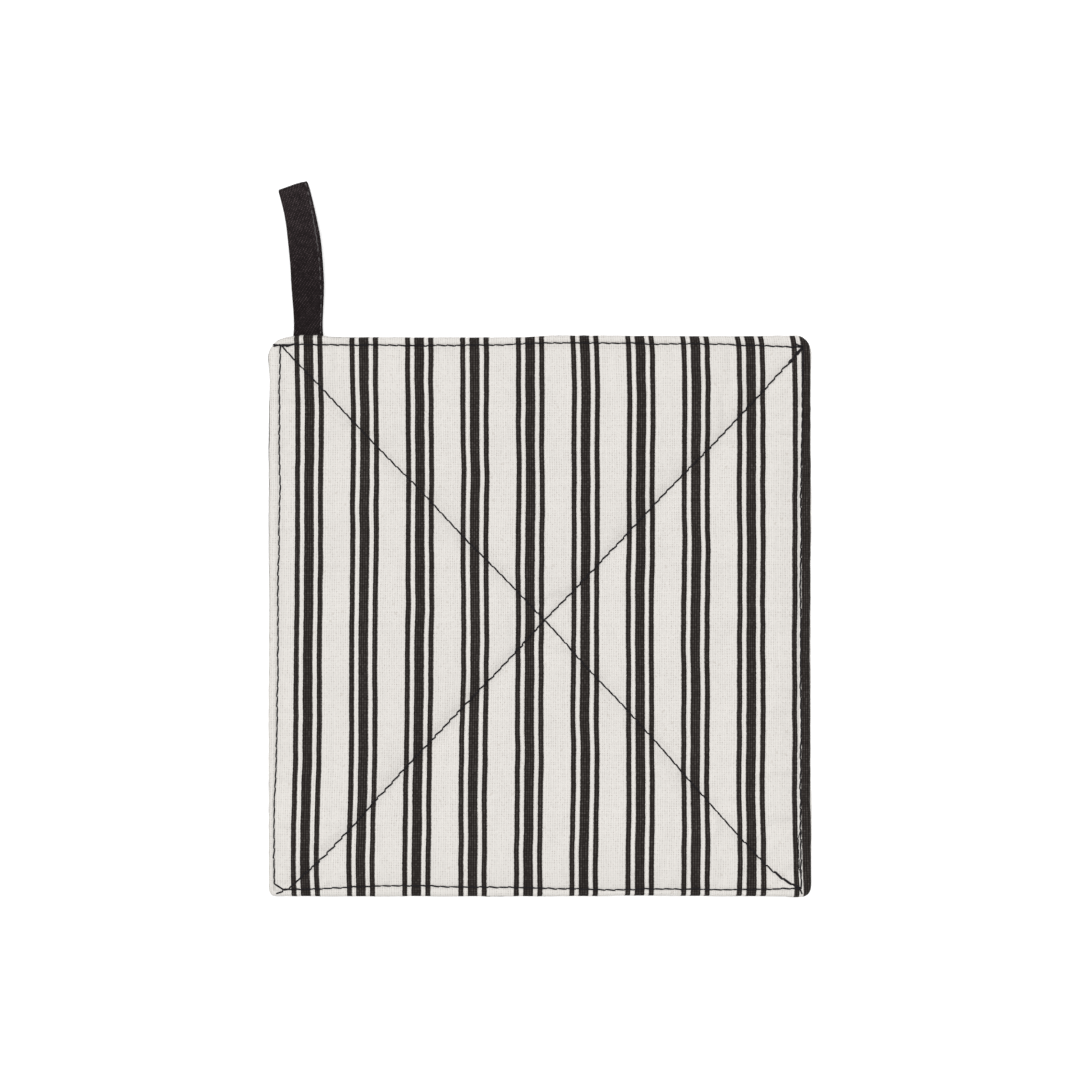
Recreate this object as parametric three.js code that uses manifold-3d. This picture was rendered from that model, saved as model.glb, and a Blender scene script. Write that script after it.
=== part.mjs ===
// Square quilted pot holder with a strap loop, as a standalone three.js model.
// Units are millimetres, +Z is up. The pad lies on its back panel on z = 0 with its front panel
// upwards; +Y runs from the bottom edge towards the edge that carries the hanging loop.
// Everything is laid out from the pad's centre and then shifted along Y, so that the origin is the
// bottom centre of the whole object, loop included.

import * as THREE from 'three';
import { mergeVertices } from 'three/addons/utils/BufferGeometryUtils.js';
import Module from 'manifold-3d';

const wasm = await Module();
wasm.setup();

// ---- Pad ----
const PAD_WIDTH = 200;
const PAD_HEIGHT = 206.6;
const PAD_THICKNESS = 8;
const MID_PLANE = PAD_THICKNESS / 2;
const EDGE_THICKNESS = 5.5;
const CORNER_RADIUS = 4;
const EDGE_ROUNDING = 1.5;
const CORNER_TIGHTENING = 0.5;
const BEVEL_STEPS = 2;
const ARC_STEPS = 3;
const SHEET = 0.7;
const CLEARANCE = 0.3;

// ---- Quilted triangles between the diagonal stitch lines ----
const STITCH_INSET = 3;
const GROOVE_HALF_WIDTH = 1.6;
const TRIANGLE_EDGE_INSET = 4.6;
const TRIANGLE_CORNER_RADIUS = 9;
const TRIANGLE_SLOPE = 7;
const TRIANGLE_SINK = 0.2;

// ---- Seam: both panels turn in along the edge, and the loop's tails lie between them ----
const SEAM_GAP = 1;
const SEAM_ALLOWANCE = 8;
const SEAM_CORNER_RADIUS = 1;
const SEAM_THREAD_INSET = 1;
const THREAD = 0.4;
const THREAD_WIDTH = 0.5;
const RING_OUTER_RADIUS = 2;
const RING_INNER_RADIUS = 1.5;

// ---- Fold line: the pad folds along the diagonal from the far right to the near left corner ----
const FOLD_GAP = CLEARANCE;
const FOLD_ANGLE = Math.atan2(PAD_HEIGHT / 2 - STITCH_INSET, PAD_WIDTH / 2 - STITCH_INSET);
const CROSS_LENGTH = Math.hypot(PAD_WIDTH / 2 - STITCH_INSET, PAD_HEIGHT / 2 - STITCH_INSET);
const UPPER_LEFT = 1;
const LOWER_RIGHT = -1;
const CROSSING_GAP = 0.8;
const THREAD_END_GAP = 1.4;
const THREAD_END = CROSS_LENGTH - THREAD_END_GAP;

// ---- Hanging loop: a flat strap folded back on itself ----
const LOOP_X = -85.1;
const LOOP_WIDTH = 11.6;
const LOOP_HEIGHT = 55.2;
const LOOP_START = 2.6;
const LOOP_SWAY = 6;
const LOOP_PLY = 0.7;
const LOOP_LOW = 0.9;
const LOOP_ARCH = 4.9;
const LOOP_ARCH_FULLNESS = 0.9;
const LOOP_END_GAP = 0.6;
const LOOP_DROP_END = 0.28;
const LOOP_VOID_START = 0.1;
const LOOP_STEPS = 16;
const LOOP_STITCH_X = 4.2;
const LOOP_STITCH_NEAR = 0.25;
const LOOP_STITCH_FAR = 0.55;
const OUTER_STITCH_START = 0.02;
const INNER_STITCH_START = 0.16;
const TAIL_THICKNESS = 1.2;
const TAIL_WIDTH = 11;
const TAIL_START = 1.8;
const TAIL_SIDE_ROOM = 1;
const TAIL_END_ROOM = 1;
const TAIL_WADDING_ROOM = 2;

const LOOP_END_LEAN = Math.atan(3 * LOOP_SWAY / LOOP_HEIGHT);
const LOOP_REACH = LOOP_HEIGHT + LOOP_WIDTH / 2 * Math.sin(LOOP_END_LEAN);
const PAD_CENTRE_Y = -LOOP_REACH / 2;
const FAR = 600;

// ---- Materials ----

function fabric(color, roughness) {
  return new THREE.MeshStandardMaterial({ color, roughness, metalness: 0 });
}

const cotton = fabric(0xe8e5e0, 0.9);
const wadding = fabric(0xf2efe8, 1.0);
const blackTape = fabric(0x262222, 0.85);
const blackThread = fabric(0x241f1f, 0.7);
const whiteThread = fabric(0xeeebe4, 0.7);

// ---- Booleans ----

function toSolid(geometry) {
  const bare = geometry.clone();
  bare.deleteAttribute('normal');
  bare.deleteAttribute('uv');
  const merged = mergeVertices(bare);
  return new wasm.Manifold(new wasm.Mesh({
    numProp: 3,
    vertProperties: merged.attributes.position.array,
    triVerts: new Uint32Array(merged.index.array),
  }));
}

function toGeometry(solid) {
  const mesh = solid.getMesh();
  const geometry = new THREE.BufferGeometry();
  geometry.setAttribute('position', new THREE.BufferAttribute(mesh.vertProperties, 3));
  geometry.setIndex(new THREE.BufferAttribute(mesh.triVerts, 1));
  geometry.computeVertexNormals();
  return geometry;
}

function boxSolid(low, high) {
  const box = new THREE.BoxGeometry(high[0] - low[0], high[1] - low[1], high[2] - low[2]);
  box.translate((high[0] + low[0]) / 2, (high[1] + low[1]) / 2, (high[2] + low[2]) / 2);
  return toSolid(box);
}

// ---- Outlines ----

function roundedRectangle(path, inset, radius) {
  const x = PAD_WIDTH / 2 - inset;
  const y = PAD_HEIGHT / 2 - inset;
  path.moveTo(-x + radius, -y);
  path.lineTo(x - radius, -y);
  path.absarc(x - radius, -y + radius, radius, -Math.PI / 2, 0, false);
  path.lineTo(x, y - radius);
  path.absarc(x - radius, y - radius, radius, 0, Math.PI / 2, false);
  path.lineTo(-x + radius, y);
  path.absarc(-x + radius, y - radius, radius, Math.PI / 2, Math.PI, false);
  path.lineTo(-x, -y + radius);
  path.absarc(-x + radius, -y + radius, radius, Math.PI, 1.5 * Math.PI, false);
  return path;
}

// A triangle whose corners are arcs; corners run anticlockwise.
function roundedTriangle(corners, radius) {
  const shape = new THREE.Shape();
  corners.forEach((corner, i) => {
    const before = corners[(i + 2) % 3].clone().sub(corner).normalize();
    const after = corners[(i + 1) % 3].clone().sub(corner).normalize();
    const half = before.angleTo(after) / 2;
    const middle = before.clone().add(after).normalize();
    const centre = middle.multiplyScalar(radius / Math.sin(half)).add(corner);
    const start = new THREE.Vector2(-before.y, before.x).angle();
    shape.absarc(centre.x, centre.y, radius, start, start + Math.PI - 2 * half, false);
  });
  return shape;
}

// The four triangles that the two diagonals leave, each moved in from its three stitch lines.
function quiltTriangles(inset) {
  const x = PAD_WIDTH / 2 - TRIANGLE_EDGE_INSET - inset;
  const y = PAD_HEIGHT / 2 - TRIANGLE_EDGE_INSET - inset;
  const groove = GROOVE_HALF_WIDTH + inset;
  const lean = Math.tan(FOLD_ANGLE);
  const overX = groove / Math.sin(FOLD_ANGLE);
  const overY = groove / Math.cos(FOLD_ANGLE);
  const point = (px, py) => new THREE.Vector2(px, py);
  const wide = y / lean - overX;
  const tall = x * lean - overY;
  return [
    [point(0, overY), point(wide, y), point(-wide, y)],
    [point(0, -overY), point(-wide, -y), point(wide, -y)],
    [point(overX, 0), point(x, -tall), point(x, tall)],
    [point(-overX, 0), point(-x, tall), point(-x, -tall)],
  ];
}

// ---- Pad bodies ----

function slab(inset, thickness) {
  const shape = roundedRectangle(new THREE.Shape(), inset, CORNER_RADIUS - inset * CORNER_TIGHTENING);
  const geometry = new THREE.ExtrudeGeometry(shape, {
    depth: thickness - 2 * EDGE_ROUNDING,
    bevelThickness: EDGE_ROUNDING,
    bevelSize: EDGE_ROUNDING,
    bevelOffset: -EDGE_ROUNDING,
    bevelSegments: BEVEL_STEPS,
    curveSegments: ARC_STEPS,
  });
  geometry.translate(0, 0, MID_PLANE - thickness / 2 + EDGE_ROUNDING);
  return toSolid(geometry);
}

function pillow(corners, thickness, inset) {
  const slope = (PAD_THICKNESS - EDGE_THICKNESS) / 2 + TRIANGLE_SINK;
  const shape = roundedTriangle(corners, TRIANGLE_CORNER_RADIUS - inset);
  const geometry = new THREE.ExtrudeGeometry(shape, {
    depth: thickness - 2 * slope,
    bevelThickness: slope,
    bevelSize: TRIANGLE_SLOPE,
    bevelOffset: -TRIANGLE_SLOPE,
    bevelSegments: BEVEL_STEPS,
    curveSegments: ARC_STEPS,
  });
  geometry.translate(0, 0, MID_PLANE - thickness / 2 + slope);
  return toSolid(geometry);
}

// The whole pad's outer shape, moved in by the same amount on every side.
function padSolid(inset) {
  const thickness = PAD_THICKNESS - 2 * inset;
  const pillows = quiltTriangles(inset).map((corners) => pillow(corners, thickness, inset));
  return pillows.reduce((whole, one) => whole.add(one), slab(inset, EDGE_THICKNESS - 2 * inset));
}

// Everything above (side 1) or below (side -1) a distance from the mid-plane.
function layerSpace(side, distance) {
  const low = side > 0 ? MID_PLANE + distance : -FAR;
  const high = side > 0 ? FAR : MID_PLANE - distance;
  return boxSolid([-FAR, -FAR, low], [FAR, FAR, high]);
}

function prism(shape, low, high) {
  const geometry = new THREE.ExtrudeGeometry(shape, {
    depth: high - low,
    bevelEnabled: false,
    curveSegments: ARC_STEPS,
  });
  geometry.translate(0, 0, low);
  return toSolid(geometry);
}

// The part of the pad on one side of the fold line.
function foldHalf(side) {
  const box = new THREE.BoxGeometry(2 * FAR, FAR, FAR);
  box.translate(0, side * (FAR + FOLD_GAP) / 2, 0);
  box.rotateZ(FOLD_ANGLE);
  return toSolid(box);
}

// Everything inside a line that runs round the pad at a distance from its edge.
function spaceInside(inset) {
  const shape = roundedRectangle(new THREE.Shape(), inset, SEAM_CORNER_RADIUS);
  return prism(shape, -FAR, FAR);
}

// A box round the loop's tails, with room beside them, room before and behind them, and a half height.
function spaceRoundTails(sideRoom, endRoom, halfHeight) {
  const halfWidth = TAIL_WIDTH / 2 + sideRoom;
  return boxSolid(
    [LOOP_X - halfWidth, PAD_HEIGHT / 2 - SEAM_ALLOWANCE - endRoom, MID_PLANE - halfHeight],
    [LOOP_X + halfWidth, PAD_HEIGHT / 2 + TAIL_END_ROOM, MID_PLANE + halfHeight],
  );
}

const halves = [
  { name: 'upper_left', space: foldHalf(UPPER_LEFT), side: UPPER_LEFT },
  { name: 'lower_right', space: foldHalf(LOWER_RIGHT), side: LOWER_RIGHT },
];
const layers = [
  { name: 'front', side: 1 },
  { name: 'back', side: -1 },
];

const outer = padSolid(0);
const hollow = padSolid(SHEET);
const filling = padSolid(SHEET + CLEARANCE);
const insideSeam = spaceInside(SEAM_ALLOWANCE);
const clearOfSeam = spaceInside(SEAM_ALLOWANCE + CLEARANCE);
const tailPocket = spaceRoundTails(CLEARANCE, TAIL_END_ROOM, TAIL_THICKNESS / 2 + CLEARANCE);
const tailRoom = spaceRoundTails(TAIL_SIDE_ROOM, TAIL_WADDING_ROOM, TAIL_THICKNESS);

// A panel is the outer sheet with its edge turned in to the seam, as a flat border beside the mid-plane.
function panelSolid(side) {
  const turnedIn = SEAM_GAP / 2 + SHEET;
  const room = hollow.intersect(layerSpace(side, turnedIn)).add(
    hollow.intersect(insideSeam).intersect(layerSpace(side, 0)));
  return outer.intersect(layerSpace(side, SEAM_GAP / 2)).subtract(room).subtract(tailPocket);
}

// A wadding ply fills its panel, and thins out over the turned-in border.
function waddingSolid(side) {
  const overSeam = filling.intersect(layerSpace(side, SEAM_GAP / 2 + SHEET + CLEARANCE));
  const middle = filling.intersect(clearOfSeam).intersect(layerSpace(side, CLEARANCE / 2));
  return overSeam.add(middle).subtract(tailRoom);
}

// ---- Threads of the pad ----

function threadRing(inset, low, high) {
  const shape = roundedRectangle(new THREE.Shape(), inset - THREAD_WIDTH / 2, RING_OUTER_RADIUS);
  const inner = roundedRectangle(new THREE.Path(), inset + THREAD_WIDTH / 2, RING_INNER_RADIUS);
  shape.holes.push(inner);
  return prism(shape, low, high);
}

// Height span of a thread that lies on the panel in the stitch groove.
function surfaceThreadSpan(side) {
  const near = MID_PLANE + side * (EDGE_THICKNESS / 2 + CLEARANCE);
  const far = near + side * THREAD;
  return [Math.min(near, far), Math.max(near, far)];
}

function diagonalThread(angle, start, end, side) {
  const [low, high] = surfaceThreadSpan(side);
  const box = new THREE.BoxGeometry(end - start, THREAD_WIDTH, high - low);
  box.translate((start + end) / 2, 0, (low + high) / 2);
  box.rotateZ(angle);
  return box;
}

// ---- Loop ----

// Heights of the strap's two outer faces at a distance along the loop (0 at the base, 1 at the fold).
function loopLower(u) {
  const drop = THREE.MathUtils.smoothstep(u, 0, LOOP_DROP_END);
  return THREE.MathUtils.lerp(MID_PLANE - TAIL_THICKNESS / 2, LOOP_LOW, drop);
}

function loopUpper(u) {
  const end = LOOP_LOW + 2 * LOOP_PLY + LOOP_END_GAP;
  const straight = THREE.MathUtils.lerp(MID_PLANE + TAIL_THICKNESS / 2, end, u);
  return straight + LOOP_ARCH * Math.sin(Math.PI * Math.min(u, 1)) ** LOOP_ARCH_FULLNESS;
}

function loopY(u) {
  return THREE.MathUtils.lerp(LOOP_START, LOOP_HEIGHT, u);
}

// Points along the strap from the lower tail round the fold to the upper tail, moved out by an offset
// (negative is towards the inside of the loop).
function loopFace(offset, from) {
  const points = [];
  const end = 1 + offset / (LOOP_HEIGHT - LOOP_START);
  for (let i = 0; i <= LOOP_STEPS; i += 1) {
    const u = THREE.MathUtils.lerp(from, end, i / LOOP_STEPS);
    points.push(new THREE.Vector2(loopY(u), loopLower(u) - offset));
  }
  for (let i = LOOP_STEPS; i >= 0; i -= 1) {
    const u = THREE.MathUtils.lerp(from, end, i / LOOP_STEPS);
    points.push(new THREE.Vector2(loopY(u), loopUpper(u) + offset));
  }
  return points;
}

// Extrudes a side profile across the strap and sways it along the loop's curved centre line.
function strapPiece(shape, centre, width) {
  const geometry = new THREE.ExtrudeGeometry(shape, { depth: width, bevelEnabled: false });
  const position = geometry.attributes.position;
  for (let i = 0; i < position.count; i += 1) {
    const along = position.getX(i);
    const height = position.getY(i);
    const across = centre - width / 2 + position.getZ(i);
    const reach = along / LOOP_HEIGHT;
    const lean = Math.atan(3 * LOOP_SWAY * reach ** 2 / LOOP_HEIGHT);
    position.setXYZ(
      i,
      LOOP_X - LOOP_SWAY * reach ** 3 + across * Math.cos(lean),
      PAD_HEIGHT / 2 + along + across * Math.sin(lean),
      height,
    );
  }
  geometry.computeVertexNormals();
  return geometry;
}

function loopStrap() {
  const shape = new THREE.Shape(loopFace(0, 0));
  shape.holes.push(new THREE.Path(loopFace(-LOOP_PLY, LOOP_VOID_START).reverse()));
  return strapPiece(shape, 0, LOOP_WIDTH);
}

function loopStitch(near, far, from) {
  const outline = loopFace(far, from).concat(loopFace(near, from).reverse());
  return strapPiece(new THREE.Shape(outline), LOOP_STITCH_X, THREAD_WIDTH);
}

function loopTails() {
  const box = new THREE.BoxGeometry(TAIL_WIDTH, SEAM_ALLOWANCE - TAIL_START, TAIL_THICKNESS);
  box.translate(LOOP_X, PAD_HEIGHT / 2 - (SEAM_ALLOWANCE + TAIL_START) / 2, MID_PLANE);
  return box;
}

// ---- Assembly ----

const potHolder = new THREE.Group();
potHolder.name = 'pot_holder';
potHolder.position.y = PAD_CENTRE_Y;

function addPiece(name, geometry, material) {
  const mesh = new THREE.Mesh(geometry, material.clone());
  mesh.name = name;
  potHolder.add(mesh);
}

for (const layer of layers) {
  const panel = panelSolid(layer.side);
  const ply = waddingSolid(layer.side);
  const ring = threadRing(STITCH_INSET, ...surfaceThreadSpan(layer.side));
  for (const half of halves) {
    const suffix = `${layer.name}_${half.name}`;
    addPiece(`panel_${suffix}`, toGeometry(panel.intersect(half.space)), cotton);
    addPiece(`wadding_${suffix}`, toGeometry(ply.intersect(half.space)), wadding);
    addPiece(`edge_stitch_${suffix}`, toGeometry(ring.intersect(half.space)), blackThread);
    const outwards = half.side === UPPER_LEFT ? Math.PI - FOLD_ANGLE : -FOLD_ANGLE;
    const cross = diagonalThread(outwards, CROSSING_GAP, THREAD_END, layer.side);
    addPiece(`cross_stitch_${suffix}`, cross, blackThread);
  }
  const fold = diagonalThread(FOLD_ANGLE, -THREAD_END, THREAD_END, layer.side);
  addPiece(`fold_stitch_${layer.name}`, fold, blackThread);
}

const seam = threadRing(SEAM_THREAD_INSET, MID_PLANE - THREAD / 2, MID_PLANE + THREAD / 2);
for (const half of halves) {
  addPiece(`seam_thread_${half.name}`, toGeometry(seam.intersect(half.space)), whiteThread);
}

addPiece('loop_strap', loopStrap(), blackTape);
addPiece('loop_tails', loopTails(), blackTape);
const outerStitch = loopStitch(LOOP_STITCH_NEAR, LOOP_STITCH_FAR, OUTER_STITCH_START);
const innerNear = -LOOP_PLY - LOOP_STITCH_FAR;
const innerFar = -LOOP_PLY - LOOP_STITCH_NEAR;
const innerStitch = loopStitch(innerNear, innerFar, INNER_STITCH_START);
addPiece('loop_stitch_outer', outerStitch, blackThread);
addPiece('loop_stitch_inner', innerStitch, blackThread);

export default potHolder;
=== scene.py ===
"""Square quilted pot holder of striped cotton with a black strap loop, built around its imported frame."""

import math

import bpy
import numpy as np
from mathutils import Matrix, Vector
from mathutils.bvhtree import BVHTree


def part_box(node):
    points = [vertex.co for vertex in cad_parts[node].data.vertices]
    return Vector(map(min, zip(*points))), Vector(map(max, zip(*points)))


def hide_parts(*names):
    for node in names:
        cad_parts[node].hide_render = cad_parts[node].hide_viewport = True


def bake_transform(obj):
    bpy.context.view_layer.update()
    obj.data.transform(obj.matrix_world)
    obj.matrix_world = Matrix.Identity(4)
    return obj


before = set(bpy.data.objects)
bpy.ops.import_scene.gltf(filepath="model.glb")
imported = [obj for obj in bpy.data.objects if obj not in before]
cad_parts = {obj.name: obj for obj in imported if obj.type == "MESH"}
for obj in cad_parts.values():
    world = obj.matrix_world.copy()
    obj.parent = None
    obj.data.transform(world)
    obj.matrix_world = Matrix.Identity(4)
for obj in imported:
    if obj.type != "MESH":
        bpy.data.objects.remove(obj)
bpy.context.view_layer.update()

# Lengths below are millimetres from the pad's centre unless a name says otherwise.
MM = 0.001


def pad_box():
    """Lowest and highest corner of the four panel nodes together, in millimetres of the row frame."""
    boxes = np.array([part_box(n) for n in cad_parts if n.startswith("panel_")]) / MM
    return boxes[:, 0].min(axis=0), boxes[:, 1].max(axis=0)


PAD_LOW, PAD_HIGH = pad_box()
PAD_WIDTH = PAD_HIGH[0] - PAD_LOW[0]
PAD_HEIGHT = PAD_HIGH[1] - PAD_LOW[1]
CENTRE_X = (PAD_HIGH[0] + PAD_LOW[0]) / 2
CENTRE_Y = (PAD_HIGH[1] + PAD_LOW[1]) / 2
MID_Z = (PAD_HIGH[2] + PAD_LOW[2]) / 2

# ---- quilting ----
CELLS = 216            # fine cells across the stitched square
SIM_STEP = 3           # fine cells to one simulated cell
DIAGONAL_STITCH = 3    # cells to a stitch
EDGE_STITCH = 4
CORNER_HOLE = (0, 2)   # the cell where the edge seam turns at the near left corner
STITCH_LEVEL = 1.75    # height of the stitch lines above the mid-plane
CROWN = 2.05           # height of the quilted triangles above the stitch lines

# ---- stripes ----
STRIPE_REPEAT = 20.4
STRIPE_START = -85.4
THICK_STRIPE = 3.62
THIN_STRIPE = 1.93
THIN_OFFSET = 4.27     # from the thick stripe's middle to a thin one's
BACK_STRIPE_START = -95.9

# ---- strap loop, from its base at the pad's far edge ----
LOOP_X = -85.1
LOOP_HEIGHT = 55.7
LOOP_START = 2.6       # how far the first rows of mesh run ahead of even spacing
LOOP_SWAY = 5.8
LOOP_WIDTH = 10.2
LOOP_SWELL = 1.45      # how much wider the strap is past its base
LOOP_PLY = 0.7
LOOP_LOW = 0.9         # height of the lower ply above the table
LOOP_ARCH = 4.9
TAIL = 1.2             # thickness of the two tails together
TAIL_LENGTH = 7.0
LOOP_STITCH_ACROSS = 4.6
LOOP_STITCH = 3.4
STRAP_LENGTH = 126


def placed(name, data):
    """A new object in the scene."""
    obj = bpy.data.objects.new(name, data)
    bpy.context.scene.collection.objects.link(obj)
    return obj


# ---- noise and interpolation ----

NOISE_STATIONS = 4096
NOISE_WAVES, NOISE_WAVE_RANGE, NOISE_PEAK = 9, (0.7, 1.6), 1.2
EXACT = 1e-9           # smaller differences are rounding


def line_noise(s, seed, wavelength):
    """Smooth noise along a line, about -1 to 1."""
    rng = np.random.default_rng(seed)
    values = rng.uniform(-1, 1, NOISE_STATIONS)
    t = np.asarray(s, float) / wavelength + NOISE_STATIONS // 2
    i = np.floor(t).astype(int)
    f = t - i
    f = f * f * (3 - 2 * f)
    return values[i] * (1 - f) + values[i + 1] * f


def field_noise(x, y, seed, wavelength):
    """Smooth noise over a plane, about -1 to 1, as a few waves in random directions."""
    rng = np.random.default_rng(seed)
    total = 0
    for _ in range(NOISE_WAVES):
        turn = rng.uniform(0, 2 * math.pi)
        length = wavelength * rng.uniform(*NOISE_WAVE_RANGE)
        phase = rng.uniform(0, 2 * math.pi)
        total = total + np.sin((x * math.cos(turn) + y * math.sin(turn)) * 2 * math.pi / length + phase)
    return total / math.sqrt(NOISE_WAVES) / NOISE_PEAK


def cubic_weights(coarse, step):
    """Matrix that takes values at coarse + 1 stations to coarse * step + 1 by Catmull-Rom cubics."""
    fine = coarse * step
    weights = np.zeros((fine + 1, coarse + 1))
    for i in range(fine + 1):
        k = min(i // step, coarse - 1)
        t = i / step - k
        parts = (
            -0.5 * t + t * t - 0.5 * t ** 3,
            1 - 2.5 * t * t + 1.5 * t ** 3,
            0.5 * t + 2 * t * t - 1.5 * t ** 3,
            -0.5 * t * t + 0.5 * t ** 3,
        )
        for offset, part in zip((-1, 0, 1, 2), parts):
            weights[i, min(max(k + offset, 0), coarse)] += part
    return weights


def bumps(s, shapes, base=0):
    """A base value and smooth bumps along a line, each with its height, its centre and its width."""
    return sum((height * np.exp(-(((s - centre) / width) ** 2)) for height, centre, width in shapes), base)


def share(s, start, end, most=1):
    """How far s has come from start to end: from 0 to 1, or to a higher limit."""
    return np.clip((s - start) / (end - start), 0, most)


# ---- the pad's plan ----

# Corners of the stitched square as sewn, a little out of true, anticlockwise from the near left one.
STITCHED_CORNERS = np.array([(-97.9, -100.4), (95.7, -100.2), (96.9, 99.3), (-95.6, 100.1)])
# The diagonals were sewn in slight bows: how far each runs to one side, and how soon after the centre.
NEAR_LEFT_BOW, NEAR_LEFT_ONSET = 4.1, 0.95
NEAR_RIGHT_BOW, NEAR_RIGHT_ONSET = 3.0, 1.6
FAR_RIGHT_BOW = 1.5
SMALLEST_RING = 1e-6
# How sharply the near and the far bows end at the stitched edge.
NEAR_BOW_END, FAR_BOW_END = 18, 4
# Slow bumps of each stitched edge.
FAR_EDGE = ((1.1, 22, 38), (0.5, 68, 20))
FAR_EDGE_SHIFT = 0.2
NEAR_EDGE = ((1.35, -55, 22), (0.65, -20, 22), (0.3, 8, 16), (-0.4, 70, 14))
LEFT_EDGE = ((0.45, 12, 12), (0.6, -90, 10))
RIGHT_EDGE = ((0.75, -95, 14), (-0.35, 20, 60))
# Where the diagonals cross, from the square's centre, and how far round it the cloth follows.
CROSSING_X, CROSSING_Y, CROSSING_REACH = 1.4, -1.2, 55


def homography(corners):
    """The 3 x 3 matrix that takes the square from -1 to 1 to four corners, keeping lines straight."""
    rows, right = [], []
    for (u, v), (x, y) in zip(((-1, -1), (1, -1), (1, 1), (-1, 1)), corners):
        rows.append([u, v, 1, 0, 0, 0, -x * u, -x * v])
        rows.append([0, 0, 0, u, v, 1, -y * u, -y * v])
        right += [x, y]
    return np.append(np.linalg.solve(np.array(rows, float), np.array(right, float)), 1).reshape(3, 3)


SQUARE = homography(STITCHED_CORNERS)


def sewn_bows(u, v):
    """The shift of the cloth's stitch lines away from the straight diagonals."""
    ring = np.maximum(np.maximum(abs(u), abs(v)), SMALLEST_RING)
    across = u / ring
    left = (1 - across) / 2
    near_left = NEAR_LEFT_BOW * left * ring ** NEAR_LEFT_ONSET
    near_right = NEAR_RIGHT_BOW * (1 - left) * ring ** NEAR_RIGHT_ONSET
    beside = (np.minimum(abs(u), abs(v)) / ring) ** 2
    near_half = np.where(v >= 0, 0, np.where(abs(u) > abs(v), beside, 1))
    near = (near_left + near_right) * (1 - ring ** NEAR_BOW_END) * near_half
    far = FAR_RIGHT_BOW * ring * (1 - ring ** FAR_BOW_END) * beside * (u > 0) * (v > 0)
    return far - across * near, -far - near


def toward(s):
    """Weight of an edge's bumps on a place: 1 at the edge, 0 from the centre on."""
    return np.clip(s, 0, 1) ** 3


def plan(u, v):
    """Flat position of a point of the stitched square, with the bows of its sewn lines."""
    w = SQUARE[2, 0] * u + SQUARE[2, 1] * v + SQUARE[2, 2]
    x = (SQUARE[0, 0] * u + SQUARE[0, 1] * v + SQUARE[0, 2]) / w
    y = (SQUARE[1, 0] * u + SQUARE[1, 1] * v + SQUARE[1, 2]) / w
    bow_x, bow_y = sewn_bows(u, v)
    middle = np.exp(-(x * x + y * y) / CROSSING_REACH ** 2)
    across = bumps(y, RIGHT_EDGE) * toward(u) - bumps(y, LEFT_EDGE) * toward(-u)
    along = bumps(x, FAR_EDGE, FAR_EDGE_SHIFT) * toward(v) + bumps(x, NEAR_EDGE) * toward(-v)
    return x + bow_x + CROSSING_X * middle + across, y + bow_y + CROSSING_Y * middle + along


# Where the stripes lean: bumps along them on the pad's left, on its right and at its near right corner.
LEFT_LEAN = ((0.55, 58, 50), (0.35, -104, 5))
RIGHT_LEAN = ((-0.2, -30, 35),)
CORNER_LEAN = ((0.8, -106, 14),)
FOOT_LEAN, FOOT_LEAN_POWER, FOOT_LEAN_MOST = -1.2, 1.5, 1.1
FAR_LEAN, FAR_RIGHT_LEAN, FAR_LEAN_REACH = 0.25, 0.55, 3.2
# Random lean: how far, and its wavelength. The broad one is drawn out along the stripes.
BROAD_LEAN, BROAD_LEAN_WAVE, BROAD_LEAN_STRETCH = 0.16, 60, 1.4
FINE_LEAN, FINE_LEAN_WAVE = 0.07, 17
LENGTHWISE_PULL, LENGTHWISE_WAVE = 0.2, 60


def on_right(x):
    return share(x, 0, 80)


def far_edge_lean(x, inside):
    """The stripes' lean to the left near the far edge, at a distance inside it."""
    return (FAR_LEAN + FAR_RIGHT_LEAN * on_right(x)) * np.exp(-np.maximum(inside, 0) / FAR_LEAN_REACH)


def stripe_lean(x, y):
    """How far the stripes lean sideways where the cloth was pulled as it was sewn."""
    foot = FOOT_LEAN * share(y, -15, -95, FOOT_LEAN_MOST) ** FOOT_LEAN_POWER
    lean = bumps(y, LEFT_LEAN, foot) * share(x, 70, -80) + bumps(y, RIGHT_LEAN) * on_right(x)
    lean = lean + bumps(y, CORNER_LEAN) * share(x, 78, 92) - far_edge_lean(x, PAD_HEIGHT / 2 - y)
    lean = lean + BROAD_LEAN * field_noise(x, BROAD_LEAN_STRETCH * y, 11, BROAD_LEAN_WAVE)
    return lean + FINE_LEAN * field_noise(x, y, 12, FINE_LEAN_WAVE)


def cloth_position(x, y):
    """Where on the flat striped cloth a place of the pad's plan was cut from."""
    lengthwise = LENGTHWISE_PULL * field_noise(x, y, 13, LENGTHWISE_WAVE)
    return np.stack([x - stripe_lean(x, y), y + lengthwise], axis=-1)


# Swells of the outline outwards: a slow and a fine wander, and how far in from the full width both lie.
SLOW_WANDER, SLOW_WANDER_WAVE = 0.2, 30
FINE_WANDER, FINE_WANDER_WAVE = 0.06, 8
OUTLINE_INSET = 0.2
WANDER_SKEW = 1.3      # keeps the wander of opposite edges apart
NEAR_EDGE_INSET, FAR_RIGHT_SWELL, EDGE_BAND = 0.35, 0.45, 5
STRAP_SWELL, STRAP_SWELL_REACH = 0.85, 6.5
FAR_LEFT_SWELLS = ((0.5, 95.5, 4), (-0.45, 84, 8))
NEAR_RIGHT_SWELLS = ((0.45, 94, 3),)
CORNER_RADII = (2.6, 3.4, 6.0, 7.5)


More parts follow.
